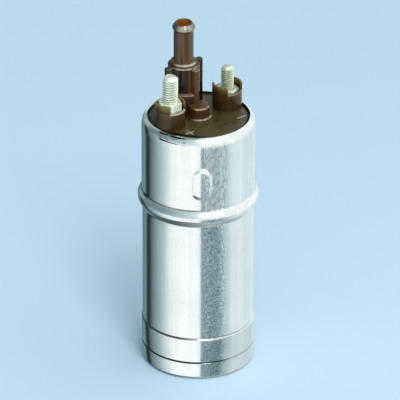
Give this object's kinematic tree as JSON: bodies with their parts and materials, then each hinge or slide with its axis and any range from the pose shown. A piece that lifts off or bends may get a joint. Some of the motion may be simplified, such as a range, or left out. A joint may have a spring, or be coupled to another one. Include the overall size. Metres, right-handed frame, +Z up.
{
  "type": "electric fuel pump",
  "caption": "Round metal-cased electric fuel pump: base inlet, internal-gear stage, wet motor, plastic cover with barbed outlet and two stud terminals.",
  "frame": {"origin": "centre of the ring that the pump stands on, on the axis of the case", "axes": "+Z up the motor shaft towards the outlet; the raised pad on the case faces -Y"},
  "size_m": [0.0466, 0.0466, 0.1392],
  "materials": {
    "can_steel": "bright tinned deep-drawn steel sheet",
    "cup_steel": "bright tinned deep-drawn steel sheet",
    "brown_plastic": "dark brown glass-filled polyamide, semi-gloss",
    "nozzle_plastic": "dark brown polyamide, semi-gloss",
    "zinc_plate": "zinc-plated steel",
    "seal_rubber": "black fuel-proof rubber",
    "valve_plastic": "natural acetal",
    "spring_steel": "bright spring wire",
    "bush_bronze": "sintered bronze",
    "shaft_steel": "ground steel",
    "pole_steel": "rolled steel, phosphated",
    "magnet_ferrite": "sintered ferrite, dark grey",
    "lamination_steel": "stacked electrical steel",
    "winding_copper": "enamelled copper",
    "black_moulding": "black phenolic moulding",
    "brush_carbon": "copper-graphite",
    "cast_aluminium": "die-cast and faced",
    "sintered_steel": "sintered steel, ground faces",
    "screw_steel": "black-oxide socket screws"
  },
  "bodies": {
    "housing": {"can": "can_steel", "base_cup": "cup_steel", "cover_seal": "seal_rubber", "connection_cover": "brown_plastic", "outlet_nozzle": "nozzle_plastic", "check_valve_spring": "spring_steel", "valve_guide": "valve_plastic", "stud_plus": "zinc_plate", "stud_minus": "zinc_plate", "collar_plus": "zinc_plate", "collar_minus": "zinc_plate", "stud_seals": "seal_rubber", "upper_bush": "bush_bronze", "lower_bush": "bush_bronze", "flux_ring": "pole_steel", "magnet_north": "magnet_ferrite", "magnet_south": "magnet_ferrite", "magnet_clips": "spring_steel", "brush_holder": "black_moulding", "brush_spring_plus": "spring_steel", "brush_spring_minus": "spring_steel", "brush_lead_plus": "winding_copper", "brush_lead_minus": "winding_copper", "choke_cores": "magnet_ferrite", "choke_windings": "winding_copper", "inlet_cover": "cast_aluminium", "pump_ring": "sintered_steel", "outlet_plate": "cast_aluminium", "plate_seal": "seal_rubber", "pump_screws": "screw_steel", "relief_spring": "spring_steel", "relief_sleeve": "bush_bronze"},
    "armature": {"shaft": "shaft_steel", "armature_core": "lamination_steel", "armature_windings": "winding_copper", "commutator_hub": "black_moulding", "commutator_segments": "winding_copper", "thrust_washers": "valve_plastic", "inner_rotor": "sintered_steel"},
    "outer_rotor_body": {"outer_rotor": "sintered_steel"},
    "check_valve_body": {"check_valve": "valve_plastic"},
    "relief_valve_body": {"relief_ball": "shaft_steel"},
    "brush_plus_body": {"brush_plus": "brush_carbon"},
    "brush_minus_body": {"brush_minus": "brush_carbon"}
  },
  "joints": [
    {"name": "armature_spin", "type": "hinge", "parent": "housing", "child": "armature", "pos_m": [0, 0, 0.045], "axis": [0, 0, 1], "continuous": true},
    {"name": "outer_rotor_spin", "type": "hinge", "parent": "housing", "child": "outer_rotor_body", "pos_m": [-0.00091, -0.0007, 0.0105], "axis": [0, 0, 1], "continuous": true},
    {"name": "check_valve_lift", "type": "slide", "parent": "housing", "child": "check_valve_body", "axis": [0, 0, 1], "range_m": [0, 0.0015], "stiffness_N_per_m": 80, "springref_m": -0.002, "deforming": ["check_valve_spring"]},
    {"name": "relief_ball_lift", "type": "slide", "parent": "housing", "child": "relief_valve_body", "axis": [0, 0, -1], "range_m": [0, 0.001], "stiffness_N_per_m": 2000, "springref_m": -0.003, "deforming": ["relief_spring"]},
    {"name": "brush_plus_slide", "type": "slide", "parent": "housing", "child": "brush_plus_body", "axis": [0, 0, 1], "range_m": [0, 0.003], "stiffness_N_per_m": 150, "springref_m": -0.004, "deforming": ["brush_spring_plus", "brush_lead_plus"]},
    {"name": "brush_minus_slide", "type": "slide", "parent": "housing", "child": "brush_minus_body", "axis": [0, 0, 1], "range_m": [0, 0.003], "stiffness_N_per_m": 150, "springref_m": -0.004, "deforming": ["brush_spring_minus", "brush_lead_minus"]}
  ],
  "couplings": [
    {"joint": "outer_rotor_spin", "follows": "armature_spin", "ratio": 0.85714}
  ]
}
